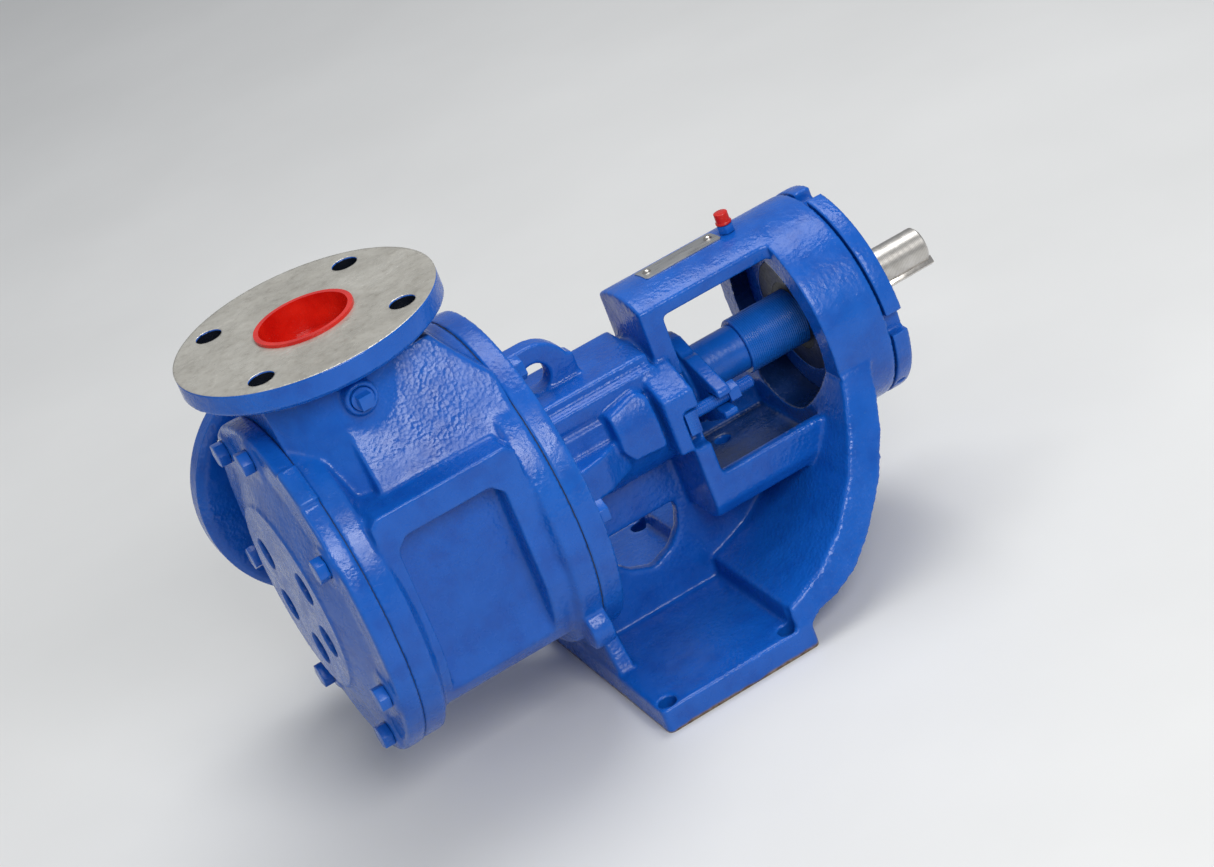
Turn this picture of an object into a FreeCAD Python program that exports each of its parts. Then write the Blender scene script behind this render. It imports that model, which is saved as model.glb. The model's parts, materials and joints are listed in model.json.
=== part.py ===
# Foot-mounted internal gear pump with right-angle flanged ports.
# All sizes in millimetres.  The shaft runs along +X from the pump head to the
# drive end, +Z is up, the second port faces +Y.  The origin lies on the foot's
# machined underside, at the centre of its four bolt holes.
import FreeCAD, Part
import math
import os
import Sketcher

V = FreeCAD.Vector
doc = FreeCAD.newDocument("gear_pump")
dims = doc.addObject("Spreadsheet::Sheet", "dims")
_row = [0]


def cell(alias, value, note=""):
    _row[0] += 1
    r = _row[0]
    dims.set("A%d" % r, alias)
    dims.set("B%d" % r, "%.6g" % value)
    dims.set("C%d" % r, note)
    dims.setAlias("B%d" % r, alias)
    return value


# ---------------------------------------------------------------- dimensions
D = {}
for alias, value, note in [
    ("axis_height", 172.0, "shaft axis above the foot's underside"),
    ("port_offset", 150.0, "port axis ahead of the origin"),
    ("flange_rad", 95.25, "port flange radius, 7.5 in class 125 pattern"),
    ("flange_thk", 19.0, "port flange thickness"),
    ("flange_pcr", 76.2, "port bolt circle radius"),
    ("flange_hole", 9.5, "port bolt hole radius"),
    ("port_face", 180.0, "shaft axis to port face"),
    ("port_bore", 35.0, "port bore radius"),
    ("case_front", -58.0, "casing face at the head, from the port axis"),
    ("case_rear", 87.5, "casing face at the bracket"),
    ("case_rad", 111.0, "casing barrel radius"),
    ("case_fl_front", 128.0, "casing flange radius, head end"),
    ("case_fl_rear", 125.0, "casing flange radius, bracket end"),
    ("case_fl_thk", 16.0, "casing flange thickness"),
    ("chamber_rad", 86.15, "rotor chamber radius"),
    ("head_rad", 129.0, "head radius"),
    ("head_thk", 14.4, "head rim thickness"),
    ("head_boss_rad", 68.0, "head dome radius at its flat face"),
    ("head_boss_len", 11.0, "head centre boss height above the rim face"),
    ("gasket_thk", 0.8, "gasket thickness"),
    ("rotor_rad", 85.9, "rotor outside radius"),
    ("rotor_in", 60.0, "rotor tooth inside radius"),
    ("tooth_len", 94.0, "rotor tooth length"),
    ("disc_thk", 20.0, "rotor disc thickness"),
    ("ecc", 19.0909, "idler centre offset"),
    ("idler_tip", 62.0, "idler outside radius"),
    ("idler_root", 40.2, "idler root radius"),
    ("pin_rad", 13.0, "idler pin radius"),
    ("bush_rad", 19.0, "idler bushing outside radius"),
    ("shaft_rad", 18.25, "shaft radius at bushing and packing"),
    ("journal_rad", 17.5, "shaft radius in the ball bearing"),
    ("ext_rad", 14.2875, "shaft extension radius, 1 1/8 in"),
    ("shaft_end", 446.0, "shaft end from the port axis"),
    ("key_w", 6.35, "shaft key width, 1/4 in"),
    ("brk_front", 88.3, "bracket flange face"),
    ("brk_fl_thk", 16.2, "bracket flange thickness"),
    ("brk_fl_rad", 125.0, "bracket flange radius"),
    ("neck_half_w", 32.0, "bracket neck half width at the top"),
    ("neck_top", 48.0, "bracket neck top above the axis"),
    ("yoke_front", 205.0, "yoke front wall"),
    ("yoke_wall", 14.0, "yoke front wall thickness"),
    ("yoke_half_w", 61.0, "yoke half width"),
    ("yoke_crown", 83.2, "yoke top bar crown radius"),
    ("yoke_bot", 87.0, "yoke bottom below the axis"),
    ("drum_rad", 82.6, "bearing drum radius"),
    ("drum_front", 319.0, "bearing drum front face"),
    ("drum_rear", 365.2, "bearing drum rear face"),
    ("drum_bore", 62.0, "bearing drum bore radius"),
    ("housing_rad", 61.9, "bearing housing barrel radius"),
    ("foot_half_w", 129.0, "foot half width"),
    ("foot_front", 90.0, "foot front edge"),
    ("foot_rear", 218.0, "foot rear edge"),
    ("foot_thk", 19.0, "foot thickness"),
    ("foot_hole_y", 118.5, "foot bolt holes, half spacing across"),
    ("foot_hole_x", 50.5, "foot bolt holes, half spacing along"),
    ("foot_hole_rad", 7.0, "foot bolt hole radius"),
    ("web_thk", 11.0, "centre web thickness"),
    ("box_rad", 28.0, "packing box bore radius"),
    ("box_front", 150.0, "packing box bottom"),
    ("ring_w", 9.0, "packing ring width"),
    ("gland_x", 233.0, "gland plate front face"),
    ("gland_thk", 10.5, "gland plate thickness"),
    ("stud_y", 55.0, "gland bolt offset"),
    ("stud_rad", 4.76, "gland bolt radius, 3/8 in"),
    ("nut_flat", 14.3, "gland nut across flats"),
    ("nut_thk", 8.5, "gland nut thickness"),
    ("hs_flat", 15.9, "head cap screw across flats"),
    ("hs_head", 8.0, "head cap screw head height"),
    ("hs_rad", 5.5, "head cap screw shank radius"),
    ("hs_pcr", 113.0, "head cap screw circle radius"),
    ("plug_rad", 37.6, "port plug barrel radius"),
]:
    D[alias] = cell(alias, value, note)
doc.recompute()


def q(e):
    """An expression on the sheet: every name of a cell gets the sheet's own prefix."""
    if not isinstance(e, str):
        return repr(float(e))
    out, i = "", 0
    import re

    return re.sub(r"[a-z][a-z_0-9]*", lambda m: "dims." + m.group(0) if m.group(0) in D else m.group(0), e)


def val(e):
    if not isinstance(e, str):
        return float(e)
    return float(eval_cells(e))


def eval_cells(e):
    """The number that a sheet expression stands for, worked out with + - * / and brackets."""
    import re

    text = re.sub(r"[a-z][a-z_0-9]*", lambda m: "%r" % D[m.group(0)], e)
    pos = [0]
    toks = re.findall(r"\d+\.?\d*(?:e-?\d+)?|[-+*/()]", text)

    def factor():
        t = toks[pos[0]]
        pos[0] += 1
        if t == "(":
            v = expr()
            pos[0] += 1
            return v
        if t == "-":
            return -factor()
        if t == "+":
            return factor()
        return float(t)

    def term():
        v = factor()
        while pos[0] < len(toks) and toks[pos[0]] in "*/":
            op = toks[pos[0]]
            pos[0] += 1
            w = factor()
            v = v * w if op == "*" else v / w
        return v

    def expr():
        v = term()
        while pos[0] < len(toks) and toks[pos[0]] in "+-":
            op = toks[pos[0]]
            pos[0] += 1
            w = term()
            v = v + w if op == "+" else v - w
        return v

    return expr()


# ------------------------------------------------------------------- helpers
# Positions are given from the point where the port axis crosses the shaft
# axis; place() moves them into the part's own frame.
def place(o, x=0, y=0, z=0, rot=None):
    o.Placement = FreeCAD.Placement(V(0, 0, 0), rot or FreeCAD.Rotation())
    o.setExpression("Placement.Base.x", "(%s) - dims.port_offset" % q(x))
    o.setExpression("Placement.Base.y", q(y))
    o.setExpression("Placement.Base.z", "(%s) + dims.axis_height" % q(z))
    return o


ROT = {
    "+Z": FreeCAD.Rotation(),
    "-Z": FreeCAD.Rotation(V(1, 0, 0), 180),
    "+X": FreeCAD.Rotation(V(0, 1, 0), 90),
    "-X": FreeCAD.Rotation(V(0, 1, 0), -90),
    "+Y": FreeCAD.Rotation(V(1, 0, 0), -90),
    "-Y": FreeCAD.Rotation(V(1, 0, 0), 90),
}
_n = [0]


def _name(base):
    _n[0] += 1
    return "%s_%03d" % (base, _n[0])


def bind(o, prop, e):
    if isinstance(e, str):
        o.setExpression(prop, q(e))
    else:
        setattr(o, prop, float(e))


def cyl(r, h, x=0, y=0, z=0, axis="+X", name="cyl"):
    o = doc.addObject("Part::Cylinder", _name(name))
    bind(o, "Radius", r)
    bind(o, "Height", h)
    return place(o, x, y, z, ROT[axis])


def cone(r1, r2, h, x=0, y=0, z=0, axis="+X", name="cone"):
    o = doc.addObject("Part::Cone", _name(name))
    bind(o, "Radius1", r1)
    bind(o, "Radius2", r2)
    bind(o, "Height", h)
    return place(o, x, y, z, ROT[axis])


def box(lx, ly, lz, x, y, z, name="box"):
    """A box whose lowest corner is x, y, z."""
    o = doc.addObject("Part::Box", _name(name))
    bind(o, "Length", lx)
    bind(o, "Width", ly)
    bind(o, "Height", lz)
    return place(o, x, y, z)


def fuse(objs, name="fuse"):
    o = doc.addObject("Part::MultiFuse", _name(name))
    o.Shapes = objs
    o.Refine = True
    return o


def common(a, b, name="common"):
    o = doc.addObject("Part::Common", _name(name))
    o.Base = a
    o.Tool = b
    return o


def cut(a, tools, name="cut"):
    o = doc.addObject("Part::Cut", _name(name))
    o.Base = a
    o.Tool = tools if not isinstance(tools, list) else (fuse(tools) if len(tools) > 1 else tools[0])
    o.Refine = True
    return o


def compound(objs, name="group"):
    o = doc.addObject("Part::Compound", _name(name))
    o.Links = objs
    return o


PARTS = {}


def node(label, o):
    o.Label = label
    PARTS[label] = o
    return o


PLANE = {"XY": "XY_Plane", "XZ": "XZ_Plane", "YZ": "YZ_Plane"}


def body_sketch(label, plane):
    body = doc.addObject("PartDesign::Body", "body_" + label)
    sk = body.newObject("Sketcher::SketchObject", "sk_" + label)
    orig = [f for f in body.Origin.OriginFeatures if f.Role == PLANE[plane]][0]
    sk.AttachmentSupport = [(orig, "")]
    sk.MapMode = "FlatFace"
    return body, sk


def outline(sk, pts):
    """A closed outline of straight lines; each corner is held by its two distances, which
    follow the sheet where a corner is given as an expression."""
    n = len(pts)
    P = [V(val(u), val(v), 0) for u, v in pts]
    ids = [sk.addGeometry(Part.LineSegment(P[i], P[(i + 1) % n]), False) for i in range(n)]
    for i in range(n):
        sk.addConstraint(Sketcher.Constraint("Coincident", ids[i], 2, ids[(i + 1) % n], 1))
    for i, (u, v) in enumerate(pts):
        for kind, e, axis in (("DistanceX", u, -2), ("DistanceY", v, -1)):
            if abs(val(e)) < 1e-9:
                sk.addConstraint(Sketcher.Constraint("PointOnObject", ids[i], 1, axis))
            else:
                c = sk.addConstraint(Sketcher.Constraint(kind, -1, 1, ids[i], 1, val(e)))
                if isinstance(e, str):
                    sk.setExpression("Constraints[%d]" % c, q(e))


def rev(label, pts, x=0, y=0, z=0, rot=None):
    """A turned piece: pts are (distance along its axis, radius), revolved about the local X axis."""
    body, sk = body_sketch(label, "XZ")
    outline(sk, pts)
    f = body.newObject("PartDesign::Revolution", "rev_" + label)
    f.Profile = (sk, [""])
    f.ReferenceAxis = (sk, ["H_Axis"])
    f.Angle = 360.0
    body.Tip = f
    place(body, x, y, z, rot)
    return body


def pad(label, pts, length, plane="YZ", x=0, y=0, z=0, rot=None):
    body, sk = body_sketch(label, plane)
    outline(sk, pts)
    f = body.newObject("PartDesign::Pad", "pad_" + label)
    f.Profile = (sk, [""])
    bind(f, "Length", length)
    body.Tip = f
    place(body, x, y, z, rot)
    return body


def prism(pts, lo, hi, plane):
    """A straight extrusion of a closed outline from lo to hi: plane 'XZ' runs along Y,
    'YZ' along X, 'XY' along Z."""
    label = _name("prism")
    length = "(%s)-(%s)" % (hi, lo)
    if plane == "XZ":
        return pad(label, pts, length, plane, y=hi)
    if plane == "YZ":
        return pad(label, pts, length, plane, x=lo)
    return pad(label, pts, length, plane, z=lo)


def hexagon(flat):
    r = val(flat) / math.sqrt(3.0)
    return [(r * math.cos(math.radians(30 + 60 * i)), r * math.sin(math.radians(30 + 60 * i))) for i in range(6)]


def hexprism(flat, h, x, y, z, axis="+X", turn=0.0):
    o = doc.addObject("Part::Prism", _name("hex"))
    o.Polygon = 6
    bind(o, "Circumradius", "(%s)/1.7320508" % flat if isinstance(flat, str) else flat / 1.7320508)
    bind(o, "Height", h)
    place(o, x, y, z, ROT[axis].multiply(FreeCAD.Rotation(V(0, 0, 1), turn)))
    return o


def polar(r, deg):
    """y and z of a point at radius r and angle deg (from +Y towards +Z) about the shaft."""
    c, s = math.cos(math.radians(deg)), math.sin(math.radians(deg))
    return "(%s)*(%.6f)" % (r, c), "(%s)*(%.6f)" % (r, s)


# ==================================================================== bracket
HEAD_ANG = [354, 58, 95, 149, 203, 240, 302]
BRK_ANG = [0, 60, 120, 180, 240, 300]

flange = cyl("brk_fl_rad", "brk_fl_thk", "brk_front")
pilot = cyl(85.8, "brk_front-68.0", 68.0)
barrel = cyl(46.0, "yoke_front+6.0-brk_front-4.0", "brk_front+4.0")
neck_top = box("yoke_front-brk_front-2.0", "2*neck_half_w", "neck_top", "brk_front+4.0", "-neck_half_w", 0.0)
neck_mid = box("yoke_front-brk_front-2.0", 84.0, 32.0, "brk_front+4.0", -42.0, -10.0)
neck_rib = box("yoke_front-brk_front-2.0", 80.0, 12.0, "brk_front+4.0", -40.0, 28.0)
side_boss = common(prism([(157, 0), (163, -10), (190, -13), (190, 28), (183, 33), (157, 27)], -57.0, 57.0, "XZ"), cyl(58.0, 40.0, 155.0))
gusset = prism([(103, -62), (118, -66), (140, -60), (163, -46), (163, -30), (103, -30)], -20.0, 8.0, "XY")
gusset2 = prism([(103, 62), (118, 66), (140, 60), (163, 46), (163, 30), (103, 30)], -20.0, 8.0, "XY")
lug_a = cyl(29.0, 16.0, 134.0, -8.0, 56.0, "+Y")
lug_b = box(32.0, 16.0, 45.0, 102.0, -8.0, 40.0)
lug_c = box(20.0, 16.0, 20.0, 145.0, -8.0, 45.0)
lug_hole = cyl(11.0, 40.0, 133.0, -20.0, 60.0, "+Y")
# yoke: front wall, crowned column and top bar, trough
front_wall = prism([(-46, -87), (46, -87), (56, -83), (61, -73), (61, 18), (38, 37), (-38, 37), (-61, 18), (-61, -73), (-56, -83)],
                   "yoke_front", "yoke_front+yoke_wall", "YZ")
column = common(cyl("yoke_crown", 17.0, 211.0), box(17.0, 66.0, 70.0, 211.0, -33.0, 20.0))
top_bar = common(cyl("yoke_crown", 105.0, 220.0), box(105.0, 66.0, 24.0, 220.0, -33.0, 66.0))
trough_block = prism([(-46, -87), (46, -87), (56, -83), (61, -73), (61, -60), (-61, -60), (-61, -73), (-56, -83)], 215.0, 325.0, "YZ")
trough_near = prism([(215, -74), (215, -54), (221, -51), (302, -51), (312, -56), (324, -56), (324, -74)], -61.0, -51.0, "XZ")
drum = cyl("drum_rad", "drum_rear-drum_front", "drum_front")
# t-slot lugs that hold the gland bolts
lug_l = prism([(-62.5, -23), (-38.5, -23), (-38.5, 36), (-62.5, 21)], 194.0, 220.0, "YZ")
lug_r = prism([(38.5, -23), (62.5, -23), (62.5, 21), (38.5, 36)], 194.0, 220.0, "YZ")
# foot, web and rear leg
foot = prism([("foot_front", -127), ("foot_front+2", -129), ("foot_rear-3", -129), ("foot_rear", -126), ("foot_rear", 126), ("foot_rear-3", 129), ("foot_front+2", 129), ("foot_front", 127)],
             "-axis_height", "foot_thk-axis_height", "XY")
web = prism([(100, -30), (100, -160), (214, -160), (216, -152), (240, -140), (262, -130), (284, -112), (305, -90), (320, -70), (320, -30)], "-web_thk/2", "web_thk/2", "XZ")
web_front = prism([(-34, -100), (34, -100), (60, -154), (-60, -154)], "foot_front+2.0", 106.0, "YZ")
web_hole = prism([(130, -81), (195, -81), (195, -89), (190, -103), (180, -114), (163, -121), (146, -114), (135, -103), (130, -89)], -40.0, 40.0, "XZ")
leg_side = prism([(345, -20), (338, -42), (329, -64), (311, -93), (287, -119), (265, -137), (245, -145), (224, -150), (216, -156), (206, -160),
                  (206, -137), (214, -135), (240, -125), (265, -108), (289, -82), (303, -59), (314, -34), (319, -20)],
                 -130.0, 130.0, "XZ")
leg_face = prism([(-129, -172), (-129, -153), (-82, -20), (82, -20), (129, -153), (129, -172)],
                 200.0, 360.0, "YZ")
leg = common(leg_side, leg_face)
solid = fuse([flange, pilot, barrel, neck_top, neck_mid, neck_rib, side_boss, gusset, gusset2, lug_a, lug_b, lug_c,
              front_wall, column, top_bar, lug_l, lug_r, foot, web, web_front, leg, drum, trough_block, trough_near], "bracket_cast")
holes = [
    lug_hole, web_hole,
    cyl(24.0, 100.0, 60.0),                                   # bushing bore
    cyl("box_rad", 90.0, "box_front"),                        # packing box
    box(84.0, 102.0, 60.0, 222.0, -51.0, -77.0),              # trough
    cyl("drum_bore", 80.0, 300.0),                            # bearing housing bore
]
for sy in (-1, 1):
    # t-slot: room for the bolt's head, then a narrower slot for its shank
    holes.append(box(10.5, 17.5, 30.5, 206.0, 46.0 if sy > 0 else -63.5, -24.0))
    holes.append(box(10.0, 14.0, 30.0, 214.0, 49.5 if sy > 0 else -63.5, -24.0))
    for sx in (-1, 1):
        holes.append(cyl("foot_hole_rad", 60.0, "port_offset+(%d)*foot_hole_x" % sx, "(%d)*foot_hole_y" % sy, "-axis_height-5.0", "+Z"))
# tapped hole into the packing box, on the far side
holes.append(cyl(5.6, 40.0, 172.0, 61.0, 14.0, "-Y"))
# drain hole through the trough floor
holes.append(cyl(6.0, 60.0, 260.0, 33.0, -100.0, "+Z"))
for a in BRK_ANG:
    y, z = polar(112.0, a)
    holes.append(cyl(5.6, 40.0, 80.0, y, z))
holes.append(cyl(4.0, 20.0, 309.0, 4.0, 72.5, "+Z"))          # grease fitting hole
holes.append(cyl(1.6, 15.0, 243.0, 8.5, 73.0, "+Z"))
holes.append(cyl(1.6, 15.0, 295.0, 8.5, 73.0, "+Z"))
bracket = node("bracket", cut(solid, holes, "bracket"))

# ===================================================================== casing
c_len = "case_rear-case_front"
shell = [
    cyl("case_rad", c_len, "case_front"),
    cyl("case_fl_front", "case_fl_thk", "case_front"),
    cone("case_fl_front", "case_rad", 9.0, "case_front+case_fl_thk"),
    cyl("case_fl_rear", "case_fl_thk", "case_rear-case_fl_thk"),
    cone("case_rad", "case_fl_rear", 9.0, "case_rear-case_fl_thk-9.0"),
]
for ax in ("+Z", "+Y"):
    p = {"+Z": lambda d: (0.0, 0.0, d), "+Y": lambda d: (0.0, d, 0.0)}[ax]
    shell.append(common(cone(84.0, 62.0, 90.0, *p(72.0), axis=ax), box(145.5, 400.0, 400.0, "case_front", -200.0, -200.0)))
    shell.append(cyl("flange_rad", "flange_thk-5.0", *p("port_face-flange_thk+5.0"), axis=ax))
    shell.append(cone("flange_rad-5.0", "flange_rad", 5.0, *p("port_face-flange_thk"), axis=ax))
shell.append(common(prism([(-20, 50), (87.5, 50), (87.5, 112), (72, 134), (56, 160), (-20, 160)], -104.0, 104.0, "XZ"),
                    prism([(-104, 40), (104, 40), (92, 80), (56, 150), (50, 162), (-50, 162), (-56, 150), (-92, 80)], -58.0, "case_rear", "YZ")))
shell.append(common(prism([(-42, -84), (-38, -88), (65, -88), (69, -84), (69, 74), (63, 80), (-36, 80), (-42, 74)], -116.0, -70.0, "XZ"),
                    fuse([cyl(119.5, "case_rear-case_front", "case_front"), box("case_rear-case_front", 200.0, 100.0, "case_front", -200.0, 0.0)])))
shell.append(cyl(15.0, "case_fl_thk", "case_rear-case_fl_thk", "0-94.0", "0-86.0"))
shell.append(cyl(12.0, 76.0, -2.0, 0.0, 142.0, "-Y"))
tools = [
    cyl("chamber_rad", 200.0, -100.0),
    cyl("port_bore", 120.0, 0.0, 0.0, 70.0, "+Z"),
    cyl("port_bore", 120.0, 0.0, 70.0, 0.0, "+Y"),
    prism([(-30, -130), (52, -130), (52, 50), (44, 58), (-22, 58), (-30, 50)], -140.0, -95.0, "XZ"),
    cyl(8.2, 20.0, -2.0, -58.0, 142.0, "-Y"),
]
for i in range(4):
    a = 45 + 90 * i
    c, s = "flange_pcr*(%.6f)" % math.cos(math.radians(a)), "flange_pcr*(%.6f)" % math.sin(math.radians(a))
    tools.append(cyl("flange_hole", "flange_thk+3.0", c, s, "port_face-flange_thk-2.0", "+Z"))
    tools.append(cyl("flange_hole", "flange_thk+3.0", c, "port_face-flange_thk-2.0", s, "+Y"))
    tools.append(cyl(17.0, 10.0, c, s, "port_face-flange_thk-10.0", "+Z"))
    tools.append(cyl(17.0, 10.0, c, "port_face-flange_thk-10.0", s, "+Y"))
for a in HEAD_ANG:
    y, z = polar("hs_pcr", a)
    tools.append(cyl("hs_rad", 23.0, "case_front-1.0", y, z))
for a in BRK_ANG:
    y, z = polar(112.0, a)
    tools.append(cyl("hs_rad", 21.0, "case_rear-20.0", y, z))
casing = node("casing", cut(fuse(shell, "casing_cast"), tools, "casing"))

# ======================================================================= head
hx = "case_front-gasket_thk"                # the head's inner face
head_add = [
    cyl("head_rad", "head_thk", "%s-head_thk" % hx),
    cone("head_boss_rad", "head_boss_rad+38.0", "head_boss_len", "%s-head_thk-head_boss_len" % hx),
]
for a in HEAD_ANG:
    y, z = polar("hs_pcr-2.0", a)
    head_add.append(cyl(15.0, 2.5, "%s-head_thk-2.5" % hx, y, z))
head_add.append(prism([(r * math.cos(math.radians(t)), r * math.sin(math.radians(t))) for r, t in ((112, 116), (134, 117), (134, 131), (112, 132))],
                      "%s-head_thk" % hx, "%s-0.4" % hx, "YZ"))
# crescent that fills the gap between the idler and the rotor teeth
cres = common(cyl(59.6, "tooth_len-1.0", hx), box(200.0, 130.0, 66.0, -100.0, -65.0, -66.0))
cres = cut(cres, cyl(62.4, 300.0, -100.0, 0.0, "ecc"))
head_tools = [cyl("pin_rad", 120.0, -80.0, 0.0, "ecc")]
for i in (0, 2, 3, 4, 5):
    y, z = polar(44.0, 30 + 60 * i)
    head_tools.append(cyl(12.5, 14.0, "%s-head_thk-head_boss_len-3.0" % hx, y, z))
for a in HEAD_ANG:
    y, z = polar("hs_pcr", a)
    head_tools.append(cyl("hs_rad+0.4", 40.0, -90.0, y, z))
head = node("head", fuse([cut(fuse(head_add, "head_cast"), head_tools, "head_cut"), cres], "head"))

# ==================================================================== gaskets
g1 = cut(cyl("head_rad-2.0", "gasket_thk", hx), [cyl("chamber_rad", 10.0, "case_front-5.0")] + [cyl("hs_rad+0.4", 10.0, "case_front-5.0", *polar("hs_pcr", a)) for a in HEAD_ANG])
node("head_gasket", g1)
g2 = cut(cyl("brk_fl_rad-1.0", "brk_front-case_rear", "case_rear"), [cyl("chamber_rad", 10.0, "case_rear-5.0")] + [cyl("hs_rad+0.1", 10.0, "case_rear-5.0", *polar(112.0, a)) for a in BRK_ANG])
node("bracket_gasket", g2)

# ================================================================= cap screws
def capscrew(x, y, z, reach, axis, turn):
    """Hex cap screw, the underside of its head at x, its shank running along axis."""
    back = "-X" if axis == "+X" else "+X"
    hexa = hexprism("hs_flat", "hs_head", x, y, z, back, turn)
    return fuse([hexa, cyl("hs_rad-0.1", reach, x, y, z, axis)])


hs = [capscrew("%s-head_thk-2.5" % hx, *polar("hs_pcr", a), reach="head_thk+2.5+gasket_thk+18.0", axis="+X", turn=a * 1.7) for a in HEAD_ANG]
node("head_capscrews", compound(hs))
bs = [capscrew("brk_front+brk_fl_thk", *polar(112.0, a), reach="brk_fl_thk+0.8+16.0", axis="-X", turn=a * 1.3 + 10) for a in BRK_ANG]
node("bracket_capscrews", compound(bs))

# =============================================================== rotor, idler
N_ROT, N_IDL = 11, 8
R_IN, R_OUT, ECC = D["rotor_in"], D["rotor_rad"], D["ecc"]


def tooth_outline(grow=0.0):
    """Outline of one rotor tooth about the +Z direction, grown outward by grow."""
    pts = []
    for i in range(9):                       # rounded inner end
        t = -math.pi / 2 + math.pi * i / 8
        pts.append((R_IN + 4.4 - (4.4 + grow) * math.cos(t), (5.6 + grow) * math.sin(t)))
    side = [(R_IN + 4.4 + k * (R_OUT - R_IN - 4.4) / 8, 5.6 + grow + k * 6.0 / 8) for k in range(1, 9)]
    return [(r, -w) for r, w in reversed(side)] + pts + side


def idler_profile():
    n = 1440
    best = [D["idler_tip"]] * n
    out = tooth_outline(0.45)
    dense = []
    for (r0, w0), (r1, w1) in zip(out[:-1], out[1:]):
        for k in range(6):
            dense.append((r0 + (r1 - r0) * k / 6.0, w0 + (w1 - w0) * k / 6.0))
    steps = 2400
    for k in range(steps):
        phi = 2 * math.pi * k / steps
        c, s = math.cos(phi), math.sin(phi)
        th = phi * N_ROT / N_IDL
        for r, w in dense:
            y = w * c - r * s
            z = w * s + r * c - ECC
            rr = math.hypot(y, z)
            if rr < D["idler_tip"]:
                ang = (math.atan2(-y, z) - th) % (2 * math.pi / N_IDL)
                j = int(ang / (2 * math.pi / N_IDL) * 180) % 180
                if rr < best[j]:
                    best[j] = rr
    one = best[:180]
    one = [min(one[j], one[-j % 180]) for j in range(180)]
    root = D["idler_root"]
    prof = []
    for t in range(N_IDL):
        for j in range(0, 180, 6):
            lo = min(one[(j + d) % 180] for d in (-3, -2, -1, 0, 1, 2, 3))
            rr = max(lo, root)
            ang = (t + j / 180.0) * 2 * math.pi / N_IDL
            prof.append(V(0, -rr * math.sin(ang), rr * math.cos(ang)))
    return prof


def shaped(label, shape, x=0, y=0, z=0):
    """A piece whose outline is generated rather than drawn; sizes come from the sheet."""
    o = doc.addObject("Part::Feature", _name(label))
    o.Shape = shape
    return place(o, x, y, z)


teeth = []
for i in range(N_ROT):
    ang = 2 * math.pi * i / N_ROT
    P = []
    for r, w in tooth_outline():
        P.append(V(0, w * math.cos(ang) - r * math.sin(ang), w * math.sin(ang) + r * math.cos(ang)))
    P.append(P[0])
    teeth.append(Part.Face(Part.makePolygon(P)).extrude(V(D["tooth_len"] + 4.0, 0, 0)))
tooth_set = shaped("teeth", teeth[0].multiFuse(teeth[1:]), "%s+0.2" % hx)
tooth_ring = common(tooth_set, cyl("rotor_rad", "tooth_len+4.0", "%s+0.2" % hx))
t_end = "case_front-gasket_thk+tooth_len+0.2"
disc = cyl("rotor_rad", "68.0-0.3-(%s)" % t_end, t_end)
rotor = node("rotor", cut(fuse([tooth_ring, disc]), cyl("shaft_rad-1.0", 300.0, -100.0), "rotor"))

prof = idler_profile()
prof.append(prof[0])
blank = Part.Face(Part.makePolygon(prof)).extrude(V(D["tooth_len"] - 0.6, 0, 0))
idl = shaped("idler_blank", blank, "%s+0.2" % hx, 0.0, "ecc")
node("idler_gear", cut(idl, cyl("bush_rad", 300.0, -100.0, 0.0, "ecc")))
node("idler_bushing", rev("idler_bushing", [(0, "pin_rad+0.06"), (0, "bush_rad"), ("tooth_len-0.6", "bush_rad"), ("tooth_len-0.6", "pin_rad+0.06")],
                          "%s+0.2" % hx, 0.0, "ecc"))
node("idler_pin", rev("idler_pin", [(0, 0), (0, "pin_rad-1.0"), (1, "pin_rad"), ("tooth_len+19.3", "pin_rad"),
                                    ("tooth_len+20.3", "pin_rad-1.0"), ("tooth_len+20.3", 0)],
                      "%s-20.8" % hx, 0.0, "ecc"))

# ====================================================================== shaft
s0 = 36.5
shaft_body = rev("shaft_turned", [
    (0, 0), (0, "shaft_rad-2.0"), (1, "shaft_rad-1.0"), (67.7 - s0, "shaft_rad-1.0"), (67.7 - s0, "shaft_rad"),
    (283.8 - s0, "shaft_rad"), (283.8 - s0, "journal_rad"), (372.5 - s0, "journal_rad"), (372.5 - s0, 15.5), (379 - s0, 15.5), (379 - s0, "ext_rad"),
    ("shaft_end-1.6-(%s)" % s0, "ext_rad"), ("shaft_end-(%s)" % s0, "ext_rad-1.6"), ("shaft_end-(%s)" % s0, 0)], s0)
# the keyway and key lie below the shaft, turned towards -Y
KEY = 56.5
kr = FreeCAD.Rotation(V(1, 0, 0), -(90 - KEY))
def keybar(lx, w, h, x, depth, label):
    """A bar along X centred on the key's radial direction, its floor 'depth' from the axis."""
    body, sk = body_sketch(label, "YZ")
    hw = "(%s)/2" % w
    outline(sk, [("-" + hw, "-(%s)-(%s)" % (depth, h)), (hw, "-(%s)-(%s)" % (depth, h)), (hw, "-(%s)" % depth), ("-" + hw, "-(%s)" % depth)])
    f = body.newObject("PartDesign::Pad", "pad_" + label)
    f.Profile = (sk, [""])
    bind(f, "Length", lx)
    body.Tip = f
    place(body, x, 0, 0, kr)
    return body


kway = keybar(60.0, "key_w", 8.0, "shaft_end-45.0", "ext_rad-key_w/2", "keyway")
node("shaft", cut(shaft_body, kway, "shaft"))
node("shaft_key", keybar(47.0, "key_w", "key_w", "shaft_end-45.0", "ext_rad-key_w/2", "shaft_key_bar"))

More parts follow.
